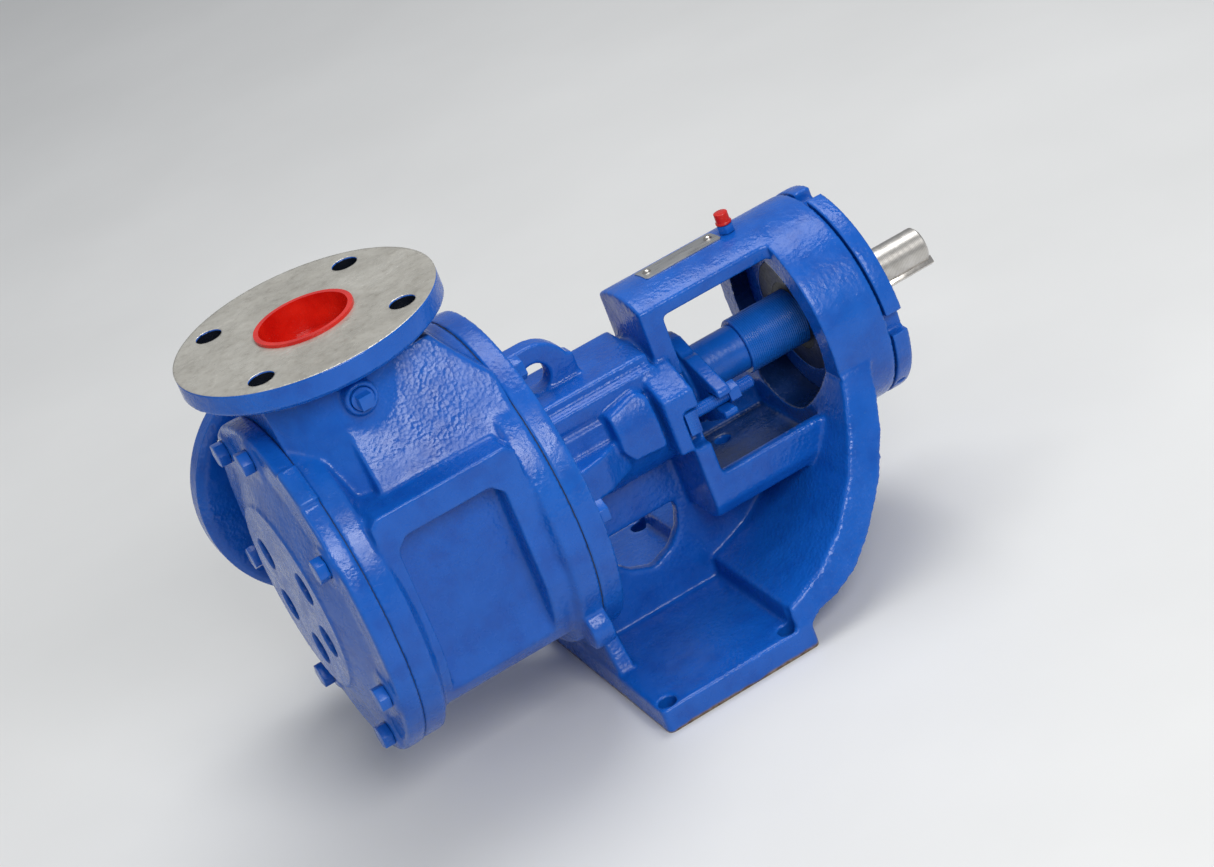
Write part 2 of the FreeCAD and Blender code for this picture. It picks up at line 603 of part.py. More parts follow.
# ======================================= bracket bushing, packing and its box
node("bracket_bushing", rev("bracket_bushing", [(0, "shaft_rad+0.06"), (0, 24), (76, 24), (76, "shaft_rad+0.06")], 72.0))
node("packing_washer", rev("packing_washer", [(0, "shaft_rad+0.35"), (0, "box_rad-0.3"), (2.5, "box_rad-0.3"), (2.5, "shaft_rad+0.35")], "box_front"))
rings = []
px = D["box_front"] + 2.5
order = ["r", "r", "r", "L", "r", "r"]
for k, kind in enumerate(order):
    if kind == "r":
        rings.append(rev("packing_ring_%d" % k, [(0.05, "shaft_rad+0.3"), (0.05, "box_rad-0.3"), ("ring_w-0.05", "box_rad-0.3"), ("ring_w-0.05", "shaft_rad+0.3")], px))
        px += D["ring_w"]
    else:
        node("lantern_ring", rev("lantern_ring", [(0, "shaft_rad+0.35"), (0, "box_rad-0.3"), (3, "box_rad-0.3"), (3, 24), (8, 24), (8, "box_rad-0.3"),
                                                 (11, "box_rad-0.3"), (11, "shaft_rad+0.35"), (8, "shaft_rad+0.35"), (8, 20.5), (3, 20.5),
                                                 (3, "shaft_rad+0.35")], px))
        px += 11.0
node("packing_rings", compound(rings))
GL = px + 0.1                                # the packing ends here and the gland nose starts

# ====================================================================== gland
gl_nose = cyl("box_rad-0.35", "gland_x-%.3f" % GL, GL)
ov = fuse([cyl(35.0, "gland_thk", "gland_x"), prism([(-68, -9), (-66, -12), (-30, -26), (30, -26), (66, -12), (68, -9), (68, 9), (66, 12), (30, 26), (-30, 26), (-66, 12), (-68, 9)],
                                                   "gland_x", "gland_x+gland_thk", "YZ"),
           cyl(30.0, 3.0, "gland_x-3.0")])
gland_tools = [cyl("shaft_rad+0.5", 100.0, 190.0)]
for sy in (-1, 1):
    gland_tools.append(box(30.0, 20.0, 11.4, 220.0, 49.3 if sy > 0 else -69.3, -5.7))
node("gland", cut(fuse([gl_nose, ov]), gland_tools, "gland"))
studs, nuts = [], []
for sy in (-1, 1):
    y = "(%d)*stud_y" % sy
    yl = "%s-7.5" % y
    studs.append(fuse([box(9.0, 15.0, 17.5, 206.5, yl, -12.0), cyl("stud_rad", 50.0, 214.0, y, 0.0), cone("stud_rad", "stud_rad-1.2", 1.2, 264.0, y, 0.0)]))
    nuts.append(cut(hexprism("nut_flat", "nut_thk", "gland_x+gland_thk", y, 0.0, "+X", 12.0 * sy + 5), cyl("stud_rad+0.3", 40.0, 230.0, y, 0.0)))
node("gland_studs", compound(studs))
node("gland_nuts", compound(nuts))

# =========================================================== bearing housing
hb = rev("bearing_housing_turned", [
    (0, 44), (0, "housing_rad"), (32.2, "housing_rad"), (32.2, 60), (34.5, 60), (34.5, "drum_rad-1.0"), (35.5, "drum_rad"), (46, "drum_rad"), (47, "drum_rad-1.0"), (47, 44),
    (36.3, 44), (36.3, 40), (11, 40), (11, 44)], 333.0)
notch = []
for a in (3, 93, 183, 273):
    n = box(30.0, 16.0, 20.0, 364.5, -8.0, 74.0)
    n.Placement.Rotation = FreeCAD.Rotation(V(1, 0, 0), a)
    y, z = polar(1.0, a + 90)
    c, s = math.cos(math.radians(a)), math.sin(math.radians(a))
    place(n, 364.5, "(%.6f)*8.0+(%.6f)*(drum_rad-9.0)" % (-c, -s), "(%.6f)*8.0+(%.6f)*(drum_rad-9.0)" % (-s, c), FreeCAD.Rotation(V(1, 0, 0), a))
    notch.append(n)
setscrew_ang = [48, 228]
for a in setscrew_ang:
    y, z = polar("drum_rad-1.0", a)
    n = cyl(3.2, 26.0, 373.0, y, z)
    n_rot = FreeCAD.Rotation(V(0, 0, 1), V(0, -math.cos(math.radians(a)), -math.sin(math.radians(a))))
    y, z = polar("drum_rad+2.0", a)
    place(n, 373.0, y, z, n_rot)
    notch.append(n)
node("bearing_housing", cut(hb, notch, "bearing_housing"))
ss = []
for a in setscrew_ang:
    n = cyl(3.1, 12.0, 373.0, 0, 0)
    y, z = polar("drum_rad-4.0", a)
    place(n, 373.0, y, z, FreeCAD.Rotation(V(0, 0, 1), V(0, -math.cos(math.radians(a)), -math.sin(math.radians(a)))))
    ss.append(n)
node("housing_set_screws", compound(ss))
node("end_cap_inner", rev("end_cap_inner", [(0, 27.2), (0, 43.7), (10.6, 43.7), (10.6, 33), (3, 33), (3, 27.2)], 333.2))
ecap = rev("end_cap_outer_turned", [(0, 33), (0, 43.7), (10.6, 43.7), (10.6, 27.2), (7.6, 27.2), (7.6, 33)], 369.6)
spanner = [cyl(2.6, 6.0, 376.0, *polar(38.5, a)) for a in (0, 90, 180, 270)]
node("end_cap_outer", cut(ecap, spanner, "end_cap_outer"))
node("lip_seal_inner", rev("lip_seal_inner", [(0, 22.0), (0, 27.0), (3.2, 27.0), (3.2, 32.8), (10.0, 32.8), (10.0, 22.0)], 333.3))
node("lip_seal_outer", rev("lip_seal_outer", [(0, 22.2), (0, 32.8), (7.2, 32.8), (7.2, 27.0), (10.6, 27.0), (10.6, 15.85), (4.0, 15.85), (4.0, 22.2)], 370.0))
# ball bearing, two rows
BW = 24.0
bx = 344.6
prof_o = [(0, 33.3), (0, 39.9), (BW, 39.9), (BW, 33.3)]
outer = rev("race_outer_turned", prof_o, bx)
inner = rev("race_inner_turned", [(0, "journal_rad"), (0, 25.7), (BW, 25.7), (BW, "journal_rad")], bx)
RP, RB = 29.5, 4.6
ball_tools_o, ball_tools_i, balls = [], [], []
for k, xo in enumerate((6.5, 17.5)):
    for tag, lst in (("o", ball_tools_o), ("i", ball_tools_i)):
        t = doc.addObject("Part::Torus", _name("groove"))
        t.Radius1 = RP
        t.Radius2 = RB + 0.12
        place(t, bx + xo, 0, 0, ROT["+X"])
        lst.append(t)
    for j in range(10):
        a = math.radians(36 * j + 18 * k)
        b = doc.addObject("Part::Sphere", _name("ball"))
        b.Radius = RB
        place(b, bx + xo, RP * math.cos(a), RP * math.sin(a))
        balls.append(b)
node("bearing_outer_race", cut(outer, ball_tools_o, "bearing_outer_race"))
node("bearing_inner_race", cut(inner, ball_tools_i, "bearing_inner_race"))
node("bearing_balls", compound(balls))
ring = rev("cage_turned", [(0.8, 28.2), (0.8, 30.8), (23.2, 30.8), (23.2, 28.2)], bx)
pockets = []
for k, xo in enumerate((6.5, 17.5)):
    for j in range(10):
        a = math.radians(36 * j + 18 * k)
        b = doc.addObject("Part::Sphere", _name("pocket"))
        b.Radius = RB + 0.2
        place(b, bx + xo, RP * math.cos(a), RP * math.sin(a))
        pockets.append(b)
node("bearing_cage", cut(ring, pockets, "bearing_cage"))
node("bearing_spacer_inner", rev("bearing_spacer_inner", [(0, "journal_rad"), (0, 20.9), (0.8, 21.7), (60.4, 21.7), (60.4, "journal_rad")], 284.0))
node("lock_washer", rev("lock_washer", [(0, "journal_rad"), (0, 21.7), (0.8, 21.7), (0.8, "journal_rad")], bx + BW + 0.1))
node("lock_nut", rev("lock_nut", [(0, "journal_rad"), (0, 21.2), (0.5, 21.7), (2.5, 21.7), (3.0, 21.2), (3.0, "journal_rad")], bx + BW + 0.95))

# ================================================ small parts on the outside
np_ = common(cut(cyl("yoke_crown+0.75", 70.0, 234.0), cyl("yoke_crown+0.05", 80.0, 230.0)),
             prism([(237, -1.5), (238.5, -3), (299.5, -3), (301, -1.5), (301, 18.5), (299.5, 20), (238.5, 20), (237, 18.5)], 60.0, 100.0, "XY"))
node("nameplate", cut(np_, [cyl(1.7, 20.0, 243.0, 8.5, 73.0, "+Z"), cyl(1.7, 20.0, 295.0, 8.5, 73.0, "+Z")], "nameplate"))
scr = []
for x in (243.0, 295.0):
    dome = doc.addObject("Part::Sphere", _name("dome"))
    dome.Radius = 4.0
    place(dome, x, 8.5, 83.85 - 2.2)
    cap = common(dome, box(10.0, 10.0, 5.0, x - 5.0, 3.5, 83.85))
    scr.append(fuse([cap, cyl(1.5, 9.7, x, 8.5, 74.5, "+Z")]))
node("nameplate_screws", compound(scr))
node("grease_fitting", fuse([hexprism(11.0, 6.0, 309.0, 4.0, 83.25, "+Z", 8.0), cyl(3.9, 11.0, 309.0, 4.0, 73.0, "+Z"), cyl(3.0, 6.5, 309.0, 4.0, 88.5, "+Z"),
                             cone(2.0, 3.2, 2.5, 309.0, 4.0, 94.0, "+Z")]))
gc = cut(cyl(5.2, 8.6, 309.0, 4.0, 90.0, "+Z"), cyl(3.6, 8.2, 309.0, 4.0, 89.0, "+Z"))
node("grease_cap", fuse([gc, cut(cyl(6.0, 1.6, 309.0, 4.0, 90.0, "+Z"), cyl(3.6, 5.0, 309.0, 4.0, 89.0, "+Z"))]))
# push-in port plugs: a thin cup with a flat rim that rests on the flange face
cup = [(0, 0), (0, 33.0), (2, "port_bore-1.4"), (24, "port_bore-0.5"), (24, "port_bore+1.3"), (26.2, "port_bore+1.1"), (26.2, "port_bore-2.6"), (4, "port_bore-4.6"), (4, 0)]
node("top_port_plug", rev("top_port_plug", cup, 0, 0, "port_face-24.0", FreeCAD.Rotation(V(0, 1, 0), -90)))
node("side_port_plug", rev("side_port_plug", cup, 0, "port_face-24.0", 0, FreeCAD.Rotation(V(0, 0, 1), 90)))
# square-head pipe plugs: one in the boss on the port neck, one in the packing box's far side
node("casing_pipe_plug", fuse([cyl(8.0, 17.0, -2.0, -59.5, 142.0, "-Y"), box(9.5, 8.0, 9.5, -6.75, -84.0, 137.25)]))
node("box_pipe_plug", fuse([cyl(5.4, 13.0, 172.0, 58.0, 14.0, "-Y"), box(6.4, 5.0, 6.4, 168.8, 57.5, 10.8)]))

# ===================================================================== output
doc.recompute()
bad = []
for o in doc.Objects:
    st = list(getattr(o, "State", []))
    if "Invalid" in st or "Error" in st:
        bad.append("%s %s" % (o.Name, st))
if bad:
    raise RuntimeError("failed objects: " + "; ".join(bad))
os.makedirs("parts", exist_ok=True)
for label, o in PARTS.items():
    sh = o.Shape
    if sh.isNull() or not sh.isValid() or not sh.Solids:
        raise RuntimeError("bad shape: " + label)
    sh.exportStep("parts/%s.step" % label)
    print("%-22s solids %2d vol %.1f cm3 %s" % (label, len(sh.Solids), sh.Volume / 1000.0, ["%.1f" % t for t in (sh.BoundBox.XMin, sh.BoundBox.XMax, sh.BoundBox.YMin, sh.BoundBox.YMax, sh.BoundBox.ZMin, sh.BoundBox.ZMax)]))
print("nodes", len(PARTS))
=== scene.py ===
import json
import math

import bmesh
import bpy
import numpy as np
from mathutils import Matrix, Vector, noise


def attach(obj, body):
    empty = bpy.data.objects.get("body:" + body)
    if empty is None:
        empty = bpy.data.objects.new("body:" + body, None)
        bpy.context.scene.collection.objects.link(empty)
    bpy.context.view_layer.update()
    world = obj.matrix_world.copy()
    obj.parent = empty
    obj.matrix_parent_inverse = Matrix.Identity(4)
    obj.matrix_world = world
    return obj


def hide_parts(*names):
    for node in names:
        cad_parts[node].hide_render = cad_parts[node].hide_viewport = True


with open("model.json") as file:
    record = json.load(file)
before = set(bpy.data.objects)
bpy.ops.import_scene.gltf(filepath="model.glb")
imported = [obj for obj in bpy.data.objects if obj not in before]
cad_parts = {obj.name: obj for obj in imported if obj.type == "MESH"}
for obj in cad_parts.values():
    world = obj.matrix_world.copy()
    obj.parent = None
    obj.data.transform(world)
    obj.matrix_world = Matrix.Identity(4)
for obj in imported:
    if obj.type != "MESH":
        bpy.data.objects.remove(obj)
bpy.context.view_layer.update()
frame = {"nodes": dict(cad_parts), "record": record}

nodes = frame["nodes"]
MM = 0.001

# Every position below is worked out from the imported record's mounts: the port axis is the
# top port's, the shaft axis passes through both port axes.
MOUNT = {m["name"]: m for m in frame["record"]["mounts"]}
PX = MOUNT["top_port"]["pos_m"][0]
AZ = MOUNT["side_port"]["pos_m"][2]


def P(x, y, z):
    """A point given in mm from where the port axes cross the shaft axis."""
    return Vector((PX + x * MM, y * MM, AZ + z * MM))


# ------------------------------------------------------------------ materials
class Tree:
    """A small helper for building one material's nodes."""

    def __init__(self, name):
        self.mat = bpy.data.materials.new(name)
        self.mat.use_nodes = True
        self.nt = self.mat.node_tree
        self.nt.nodes.clear()
        self.out = self.nt.nodes.new("ShaderNodeOutputMaterial")
        self.bsdf = self.nt.nodes.new("ShaderNodeBsdfPrincipled")
        self.nt.links.new(self.bsdf.outputs[0], self.out.inputs[0])
        self.tc = self.nt.nodes.new("ShaderNodeTexCoord")
        self.obj = self.tc.outputs["Object"]

    def link(self, a, b):
        self.nt.links.new(a, b)

    def set(self, **kw):
        for k, v in kw.items():
            self.bsdf.inputs[k.replace("_", " ")].default_value = v

    def scaled(self, s):
        m = self.nt.nodes.new("ShaderNodeMapping")
        m.inputs["Scale"].default_value = s if hasattr(s, "__len__") else (s, s, s)
        self.link(self.obj, m.inputs["Vector"])
        return m.outputs[0]

    def noise(self, scale, detail=4.0, rough=0.55, vec=None, dist=0.0):
        n = self.nt.nodes.new("ShaderNodeTexNoise")
        n.inputs["Scale"].default_value = scale
        n.inputs["Detail"].default_value = detail
        n.inputs["Roughness"].default_value = rough
        n.inputs["Distortion"].default_value = dist
        self.link(vec or self.obj, n.inputs["Vector"])
        return n.outputs["Fac"]

    def voronoi(self, scale, feature="F1", vec=None):
        n = self.nt.nodes.new("ShaderNodeTexVoronoi")
        n.feature = feature
        n.inputs["Scale"].default_value = scale
        self.link(vec or self.obj, n.inputs["Vector"])
        return n.outputs["Distance"]

    def wave(self, scale, axis="X", dist=0.0, kind="BANDS", vec=None):
        n = self.nt.nodes.new("ShaderNodeTexWave")
        n.wave_type = kind
        if kind == "BANDS":
            n.bands_direction = axis
        else:
            n.rings_direction = axis
        n.inputs["Scale"].default_value = scale
        n.inputs["Distortion"].default_value = dist
        n.inputs["Detail"].default_value = 2.0
        self.link(vec or self.obj, n.inputs["Vector"])
        return n.outputs["Fac"]

    def ramp(self, fac, stops):
        r = self.nt.nodes.new("ShaderNodeValToRGB")
        e = r.color_ramp.elements
        while len(e) > len(stops):
            e.remove(e[-1])
        while len(e) < len(stops):
            e.new(0.5)
        for el, (p, c) in zip(e, stops):
            el.position = p
            el.color = (*c, 1) if hasattr(c, "__len__") else (c, c, c, 1)
        self.link(fac, r.inputs[0])
        return r.outputs["Color"]

    def rng(self, fac, a, b, c, d):
        m = self.nt.nodes.new("ShaderNodeMapRange")
        m.inputs["From Min"].default_value = a
        m.inputs["From Max"].default_value = b
        m.inputs["To Min"].default_value = c
        m.inputs["To Max"].default_value = d
        m.clamp = True
        self.link(fac, m.inputs["Value"])
        return m.outputs[0]

    def math(self, op, a, b=None):
        m = self.nt.nodes.new("ShaderNodeMath")
        m.operation = op
        for i, v in enumerate((a, b)):
            if v is None:
                continue
            if hasattr(v, "links") or hasattr(v, "is_linked"):
                self.link(v, m.inputs[i])
            else:
                m.inputs[i].default_value = v
        return m.outputs[0]

    def mix(self, fac, a, b):
        m = self.nt.nodes.new("ShaderNodeMix")
        m.data_type = "RGBA"
        if hasattr(fac, "is_linked"):
            self.link(fac, m.inputs[0])
        else:
            m.inputs[0].default_value = fac
        for s, v in ((m.inputs[6], a), (m.inputs[7], b)):
            if hasattr(v, "is_linked"):
                self.link(v, s)
            else:
                s.default_value = (*v, 1)
        return m.outputs[2]

    def bump(self, height, dist, strength=1.0, normal=None):
        b = self.nt.nodes.new("ShaderNodeBump")
        b.inputs["Strength"].default_value = strength
        b.inputs["Distance"].default_value = dist
        self.link(height, b.inputs["Height"])
        if normal is not None:
            self.link(normal, b.inputs["Normal"])
        return b.outputs[0]

    def sep(self):
        s = self.nt.nodes.new("ShaderNodeSeparateXYZ")
        self.link(self.obj, s.inputs[0])
        return s.outputs

    def geo(self, name):
        g = self.nt.nodes.new("ShaderNodeNewGeometry")
        return g.outputs[name]


BLUE = (0.0030, 0.084, 0.415)
BLUE_L = (0.0100, 0.125, 0.530)


def paint(name, coarse=1.0, fine=1.0, bare=None, rings=None):
    """Blue enamel brushed over a rough surface: lumpy sand-cast skin, orange peel, slow changes of
    film thickness; a painted highlight of lighter blue on convex edges and painted shade darkening the concave creases."""
    t = Tree(name)
    slow = t.noise(9.0, 3.0, 0.5)
    mid = t.noise(42.0, 4.0, 0.6)
    speck = t.noise(420.0, 2.0, 0.5)
    col = t.ramp(slow, [(0.30, BLUE), (0.55, (0.0045, 0.092, 0.450)), (0.75, BLUE_L)])
    thin = t.ramp(mid, [(0.36, (0.0020, 0.052, 0.31)), (0.50, BLUE), (0.68, (0.0060, 0.102, 0.48))])
    col = t.mix(0.45, col, thin)
    # painted highlight: convex edges (high Pointiness) are mixed up to 35% toward a lighter blue, as if catching the
    # light
    edge = t.ramp(t.geo("Pointiness"), [(0.42, 0.0), (0.50, 0.35), (0.60, 1.0)])
    painted_highlight = t.nt.nodes.new("ShaderNodeMix")
    painted_highlight.data_type = "RGBA"
    t.link(t.rng(edge, 0.35, 1.0, 0.0, 0.35), painted_highlight.inputs[0])
    t.link(col, painted_highlight.inputs[6])
    painted_highlight.inputs[7].default_value = (0.016, 0.160, 0.620, 1)
    col = painted_highlight.outputs[2]
    # painted shade: concave creases (low Pointiness) are mixed up to 75% toward a near-black blue
    painted_crease_shade = t.nt.nodes.new("ShaderNodeMix")
    painted_crease_shade.data_type = "RGBA"
    t.link(t.rng(t.geo("Pointiness"), 0.40, 0.485, 0.75, 0.0), painted_crease_shade.inputs[0])
    t.link(col, painted_crease_shade.inputs[6])
    painted_crease_shade.inputs[7].default_value = (0.002, 0.018, 0.13, 1)
    col = painted_crease_shade.outputs[2]
    dirt = t.rng(t.noise(700.0, 2.0, 0.6), 0.70, 0.78, 0.0, 0.5)
    dm = t.nt.nodes.new("ShaderNodeMix")
    dm.data_type = "RGBA"
    t.link(dirt, dm.inputs[0])
    t.link(col, dm.inputs[6])
    dm.inputs[7].default_value = (0.05, 0.16, 0.44, 1)
    col = dm.outputs[2]
    if bare is not None:
        col, mask = bare(t, col)
    t.link(col, t.bsdf.inputs["Base Color"])
    rough = t.rng(t.noise(60.0, 3.0, 0.6), 0.35, 0.70, 0.17, 0.36)
    if bare is not None:
        rough = t.math("ADD", t.math("MULTIPLY", rough, t.math("SUBTRACT", 1.0, mask)), t.math("MULTIPLY", mask, 0.34))
        t.link(mask, t.bsdf.inputs["Metallic"])
    t.link(rough, t.bsdf.inputs["Roughness"])
    t.set(IOR=1.5, Specular_IOR_Level=0.36)
    lump = t.noise(95.0, 4.0, 0.62, dist=0.4)
    grain = t.voronoi(330.0)
    peel = t.noise(260.0, 2.0, 0.5)
    patch = t.rng(t.noise(13.0, 2.0, 0.5), 0.42, 0.62, 0.15, 1.0)
    h1 = t.bump(lump, 0.0011 * coarse, 0.55)
    if bare is not None:
        patch = t.math("MULTIPLY", patch, t.math("SUBTRACT", 1.0, mask))
    h2 = t.bump(t.math("MULTIPLY", grain, patch), 0.00075 * fine, 0.5, h1)
    h3 = t.bump(peel, 0.00028 * fine, 0.45, h2)
    if rings is not None:
        h3 = t.bump(t.wave(rings[0], "X", 0.6), rings[1], 0.6, h3)
    t.link(h3, t.bsdf.inputs["Normal"])
    return t.mat


def near_hole(t, a, b, along, depth):
    """1 inside the four bolt holes of a port flange and inside its bore, 0 elsewhere."""
    fa = t.math("SUBTRACT", t.math("ABSOLUTE", a), 0.0538815)
    fb = t.math("SUBTRACT", t.math("ABSOLUTE", b), 0.0538815)
    d = t.math("SQRT", t.math("ADD", t.math("MULTIPLY", fa, fa), t.math("MULTIPLY", fb, fb)))
    hole = t.rng(d, 0.00955, 0.0100, 1.0, 0.0)
    r = t.math("SQRT", t.math("ADD", t.math("MULTIPLY", a, a), t.math("MULTIPLY", b, b)))
    bore = t.rng(r, 0.0351, 0.0354, 1.0, 0.0)
    inside = t.math("MAXIMUM", hole, bore)
    return t.math("MULTIPLY", inside, t.math("MULTIPLY", t.rng(along, depth, depth + 0.001, 0.0, 1.0), t.rng(along, 0.1788, 0.1794, 1.0, 0.0)))


def rust_line_and_recess_shade(t, col):
    """Thin worn line where the foot's lower edge has rubbed bare and gone brown; also painted shade, near black, inside
    the drum's bore and on the trough floor under the shaft.
    """
    x, y, z = t.sep()
    n = t.noise(60.0, 4.0, 0.6)
    h = t.math("ADD", z, t.math("MULTIPLY", t.math("SUBTRACT", n, 0.5), 0.006))
    mask = t.rng(h, 0.0008, 0.0026, 1.0, 0.0)
    rad = t.math("SQRT", t.math("ADD", t.math("MULTIPLY", y, y), t.math("MULTIPLY", t.math("SUBTRACT", z, AZ), t.math("SUBTRACT", z, AZ))))
    drum = t.math("MULTIPLY", t.rng(rad, 0.0622, 0.0632, 1.0, 0.0), t.rng(x, PX + 0.300, PX + 0.303, 0.0, 1.0))
    low = t.math("MULTIPLY", t.rng(z, AZ - 0.0765, AZ - 0.0735, 1.0, 0.0), t.rng(z, AZ - 0.0785, AZ - 0.0775, 0.0, 1.0))
    span = t.math("MULTIPLY", t.rng(x, PX + 0.221, PX + 0.2225, 0.0, 1.0), t.rng(x, PX + 0.3055, PX + 0.307, 1.0, 0.0))
    tray = t.math("MULTIPLY", t.math("MULTIPLY", low, span), t.rng(t.math("ABSOLUTE", y), 0.0505, 0.0515, 1.0, 0.0))
    # painted shade: near black is mixed in inside the drum's bore and on the trough floor, where the recess lies in
    # shadow
    painted_shade = t.math("MULTIPLY", t.math("MAXIMUM", drum, tray), t.rng(t.noise(30.0, 4.0, 0.6), 0.3, 0.7, 0.95, 0.7))
    recess_shade_mix = t.nt.nodes.new("ShaderNodeMix")
    recess_shade_mix.data_type = "RGBA"
    t.link(painted_shade, recess_shade_mix.inputs[0])
    t.link(col, recess_shade_mix.inputs[6])
    recess_shade_mix.inputs[7].default_value = (0.004, 0.012, 0.045, 1)
    col = recess_shade_mix.outputs[2]
    rust = t.ramp(t.noise(240.0, 4.0, 0.6), [(0.35, (0.10, 0.055, 0.03)), (0.65, (0.26, 0.19, 0.13))])
    m = t.nt.nodes.new("ShaderNodeMix")
    m.data_type = "RGBA"
    t.link(mask, m.inputs[0])
    t.link(col, m.inputs[6])
    t.link(rust, m.inputs[7])
    return m.outputs[2], t.math("MULTIPLY", mask, 0.0)


def shaft_finish(t, col):
    """Painted over as far as the bearing housing's rear face, bright turned steel beyond it."""
    x, y, z = t.sep()
    mask = t.rng(x, PX + 0.3785, PX + 0.3795, 0.0, 1.0)
    lines = t.wave(260.0, "X", 1.5)
    blot = t.noise(70.0, 4.0, 0.6)
    steel = t.mix(0.5, t.ramp(lines, [(0.2, (0.46, 0.44, 0.41)), (0.8, (0.66, 0.64, 0.61))]), t.ramp(blot, [(0.35, (0.34, 0.32, 0.29)), (0.65, (0.66, 0.64, 0.61))]))
    m = t.nt.nodes.new("ShaderNodeMix")
    m.data_type = "RGBA"
    t.link(mask, m.inputs[0])
    t.link(col, m.inputs[6])
    t.link(steel, m.inputs[7])
    return m.outputs[2], mask


def flange_faces(t, col):
    """Bare machined metal on the two port faces, the same plane in every direction of view; painted shade, near black,
    inside the four bolt holes and the bore under each face.
    """
    x, y, z = t.sep()
    xc, zc = t.math("SUBTRACT", x, PX), t.math("SUBTRACT", z, AZ)
    # painted shade: the insides of the bolt holes and the bore, blue-painted on the part, are coloured near black as if
    # in shadow
    painted_shade = t.math("MAXIMUM", near_hole(t, xc, y, zc, 0.150), near_hole(t, xc, zc, y, 0.150))
    dm = t.nt.nodes.new("ShaderNodeMix")
    dm.data_type = "RGBA"
    t.link(painted_shade, dm.inputs[0])
    t.link(col, dm.inputs[6])
    dm.inputs[7].default_value = (0.006, 0.008, 0.014, 1)
    col = dm.outputs[2]
    top = t.rng(z, AZ + 0.1794, AZ + 0.1798, 0.0, 1.0)
    side = t.rng(y, 0.1794, 0.1798, 0.0, 1.0)
    mask = t.math("MAXIMUM", top, side)
    nrm = t.nt.nodes.new("ShaderNodeSeparateXYZ")
    t.link(t.geo("True Normal"), nrm.inputs[0])
    up = t.rng(t.math("MAXIMUM", nrm.outputs[2], nrm.outputs[1]), 0.90, 0.96, 0.0, 1.0)
    mask = t.math("MULTIPLY", mask, up)
    stain = t.noise(26.0, 6.0, 0.65, dist=0.8)
    fine = t.noise(150.0, 5.0, 0.7)
    steel = t.ramp(stain, [(0.30, (0.36, 0.34, 0.295)), (0.52, (0.49, 0.47, 0.415)), (0.74, (0.60, 0.58, 0.52))])
    scuff = t.ramp(fine, [(0.30, (0.24, 0.215, 0.18)), (0.45, (0.46, 0.44, 0.39)), (0.70, (0.60, 0.585, 0.535))])
    steel = t.mix(0.35, steel, scuff)
    m = t.nt.nodes.new("ShaderNodeMix")
    m.data_type = "RGBA"
    t.link(mask, m.inputs[0])
    t.link(col, m.inputs[6])
    t.link(steel, m.inputs[7])
    return m.outputs[2], t.math("MULTIPLY", mask, 0.45)


def metal(name, lo, hi, rough=(0.2, 0.4), scale=60.0, bump=0.00015, brush=None, metallic=1.0):
    t = Tree(name)
    vec = t.scaled(brush) if brush else None
    n = t.noise(scale, 5.0, 0.6, vec=vec)
    blot = t.noise(scale * 0.25, 3.0, 0.6)
    c = t.mix(0.5, t.ramp(n, [(0.3, lo), (0.7, hi)]), t.ramp(blot, [(0.35, lo), (0.65, hi)]))
    t.link(c, t.bsdf.inputs["Base Color"])
    t.set(Metallic=metallic)
    t.link(t.rng(n, 0.3, 0.7, rough[0], rough[1]), t.bsdf.inputs["Roughness"])
    t.link(t.bump(n, bump, 0.5), t.bsdf.inputs["Normal"])
    return t.mat


def plastic(name, lo, hi, rough=(0.18, 0.32), bump=0.0001):
    t = Tree(name)
    n = t.noise(55.0, 3.0, 0.5)
    f = t.noise(500.0, 2.0, 0.5)
    t.link(t.ramp(n, [(0.35, lo), (0.65, hi)]), t.bsdf.inputs["Base Color"])
    t.link(t.rng(f, 0.3, 0.7, rough[0], rough[1]), t.bsdf.inputs["Roughness"])
    t.link(t.bump(f, bump, 0.4), t.bsdf.inputs["Normal"])
    return t.mat


def assign(o, mat):
    o.data.materials.clear()
    o.data.materials.append(mat)


M = {
    "cast": paint("blue_cast"),
    "foot_cast": paint("blue_foot_cast", bare=rust_line_and_recess_shade),
    "shaft": paint("shaft_paint_and_steel", 0.15, 0.3, bare=shaft_finish, rings=(70.0, 0.000012)),
    "stud": paint("blue_threads", 0.1, 0.3, rings=(200.0, 0.0005)),
    "casing": paint("blue_casing", bare=flange_faces),
    "smooth_blue": paint("blue_smooth", 0.35, 0.55),
    # painted shade: end_cap_inner, inside the drum's recess, is given a near-black blue for the shadow there
    "recess_shade_blue": plastic("shaded_blue", (0.003, 0.010, 0.040), (0.006, 0.026, 0.11), (0.3, 0.55), 0.0004),
    "bolt_blue": paint("blue_bolts", 0.25, 0.5),
    "steel": metal("bright_steel", (0.42, 0.40, 0.37), (0.66, 0.63, 0.59), (0.16, 0.34), 90.0, 0.00008, (1.0, 1.0, 1.0)),
    "bare_iron": metal("bare_iron", (0.20, 0.19, 0.18), (0.36, 0.35, 0.33), (0.35, 0.55), 70.0, 0.0002),
    "hard": metal("hard_steel", (0.60, 0.60, 0.62), (0.75, 0.75, 0.77), (0.08, 0.18), 40.0, 0.00003),
    "bronze": metal("bronze", (0.42, 0.26, 0.11), (0.60, 0.40, 0.19), (0.25, 0.4), 60.0, 0.0001),
    "packing": plastic("packing", (0.05, 0.045, 0.035), (0.14, 0.12, 0.09), (0.5, 0.8), 0.0006),
    "rubber": plastic("seal_rubber", (0.012, 0.012, 0.013), (0.03, 0.03, 0.03), (0.4, 0.6), 0.0002),
    "gasket": plastic("gasket", (0.008, 0.012, 0.03), (0.02, 0.03, 0.06), (0.6, 0.85), 0.0005),
    "plate": metal("plate_steel", (0.46, 0.46, 0.46), (0.66, 0.66, 0.65), (0.22, 0.42), 130.0, 0.0001, (0.4, 3.0, 1.0)),
    "red": plastic("red_plastic", (0.50, 0.006, 0.003), (0.62, 0.014, 0.006), (0.16, 0.30), 0.00008),
}
